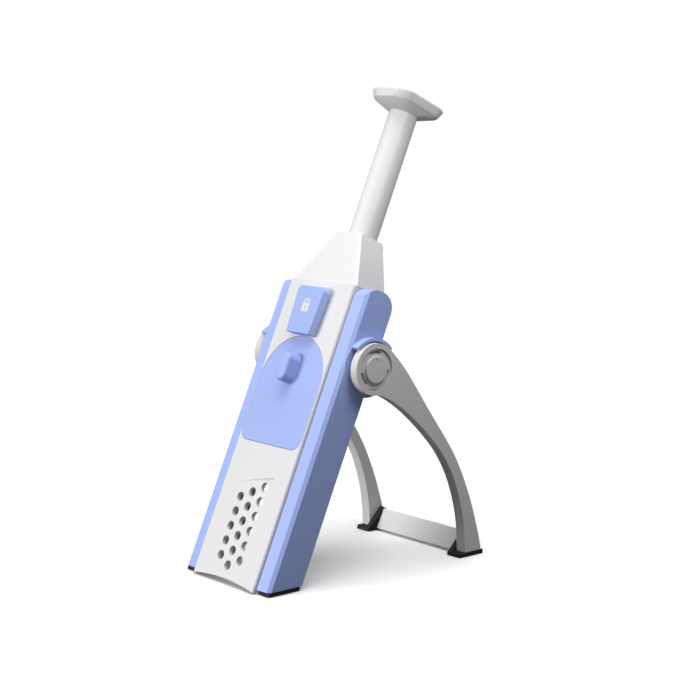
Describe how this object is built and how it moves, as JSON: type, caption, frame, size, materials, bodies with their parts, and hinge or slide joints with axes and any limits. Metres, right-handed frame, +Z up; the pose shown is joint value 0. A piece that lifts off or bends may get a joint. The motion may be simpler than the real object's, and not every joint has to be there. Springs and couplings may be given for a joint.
{
  "type": "mandoline slicer",
  "caption": "Upright push-down mandoline slicer: leaning body with food holder and drain holes, sprung plunger, side dials and a folding rear stand.",
  "frame": {"origin": "on the floor under the middle of the bounding box", "axes": "+Z up, +X across the body to the thickness dial's side, +Y from the front panel towards the stand's feet"},
  "size_m": [0.1288, 0.2154, 0.3756],
  "materials": {
    "blue_plastic": "satin",
    "white_plastic": "satin",
    "grey_plastic": "satin",
    "black_rubber": "matte",
    "steel": "brushed",
    "slate_plastic": "matte"
  },
  "bodies": {
    "body": {"front_panel": "white_plastic", "housing": "white_plastic", "neck_collar": "white_plastic", "guide_bush": "slate_plastic", "spring_rod": "steel", "rod_bracket": "slate_plastic", "right_side_cover": "blue_plastic", "right_body_foot": "black_rubber", "right_stroke_stop": "black_rubber", "right_lower_screw": "steel", "right_upper_screw": "steel", "left_side_cover": "blue_plastic", "left_body_foot": "black_rubber", "left_stroke_stop": "black_rubber", "left_lower_screw": "steel", "left_upper_screw": "steel"},
    "plunger": {"handle_grip": "white_plastic", "plunger_tube": "white_plastic", "return_spring": "steel", "blade_carriage": "slate_plastic", "slicing_blade": "steel"},
    "pusher": {"pusher_plate": "blue_plastic", "finger_knob": "blue_plastic", "pusher_block": "slate_plastic"},
    "lock": {"lock_tab": "blue_plastic", "lock_clip": "slate_plastic"},
    "thickness_dial": {"thickness_knob": "grey_plastic", "thickness_cap": "grey_plastic", "thickness_cam": "slate_plastic"},
    "thickness_slide": {"thickness_link": "steel", "thickness_plate": "steel"},
    "mode_dial": {"mode_knob": "grey_plastic", "mode_cap": "grey_plastic", "mode_cam": "slate_plastic"},
    "comb_slide": {"mode_link": "steel", "julienne_comb": "steel"},
    "stand": {"right_leg": "grey_plastic", "left_leg": "grey_plastic", "right_leg_foot": "black_rubber", "left_leg_foot": "black_rubber", "crossbar": "grey_plastic"}
  },
  "joints": [
    {"name": "plunger_press", "type": "slide", "parent": "body", "child": "plunger", "axis": [0, -0.4067, -0.9135], "range_m": [0, 0.095], "stiffness_N_per_m": 60, "springref_m": -0.1, "deforming": ["return_spring"]},
    {"name": "stand_fold", "type": "hinge", "parent": "body", "child": "stand", "pos_m": [0, -0.00747, 0.16266], "axis": [-1, 0, 0], "range_deg": [0, 49]},
    {"name": "pusher_lift", "type": "slide", "parent": "body", "child": "pusher", "axis": [0, -0.9135, 0.4067], "range_m": [0, 0.04]},
    {"name": "lock_slide", "type": "slide", "parent": "body", "child": "lock", "axis": [0, 0.4067, 0.9135], "range_m": [0, 0.008]},
    {"name": "thickness_turn", "type": "hinge", "parent": "body", "child": "thickness_dial", "pos_m": [0, -0.00747, 0.16266], "axis": [1, 0, 0], "range_deg": [0, 270]},
    {"name": "thickness_travel", "type": "slide", "parent": "body", "child": "thickness_slide", "axis": [0, 0.9135, -0.4067], "range_m": [0, 0.0048]},
    {"name": "mode_turn", "type": "hinge", "parent": "body", "child": "mode_dial", "pos_m": [0, -0.00747, 0.16266], "axis": [1, 0, 0], "range_deg": [0, 180]},
    {"name": "comb_travel", "type": "slide", "parent": "body", "child": "comb_slide", "axis": [0, -0.9135, 0.4067], "range_m": [0, 0.0074]}
  ],
  "couplings": [
    {"joint": "thickness_turn", "follows": "thickness_travel", "rad_per_m": 981.75},
    {"joint": "mode_turn", "follows": "comb_travel", "rad_per_m": 424.54}
  ]
}
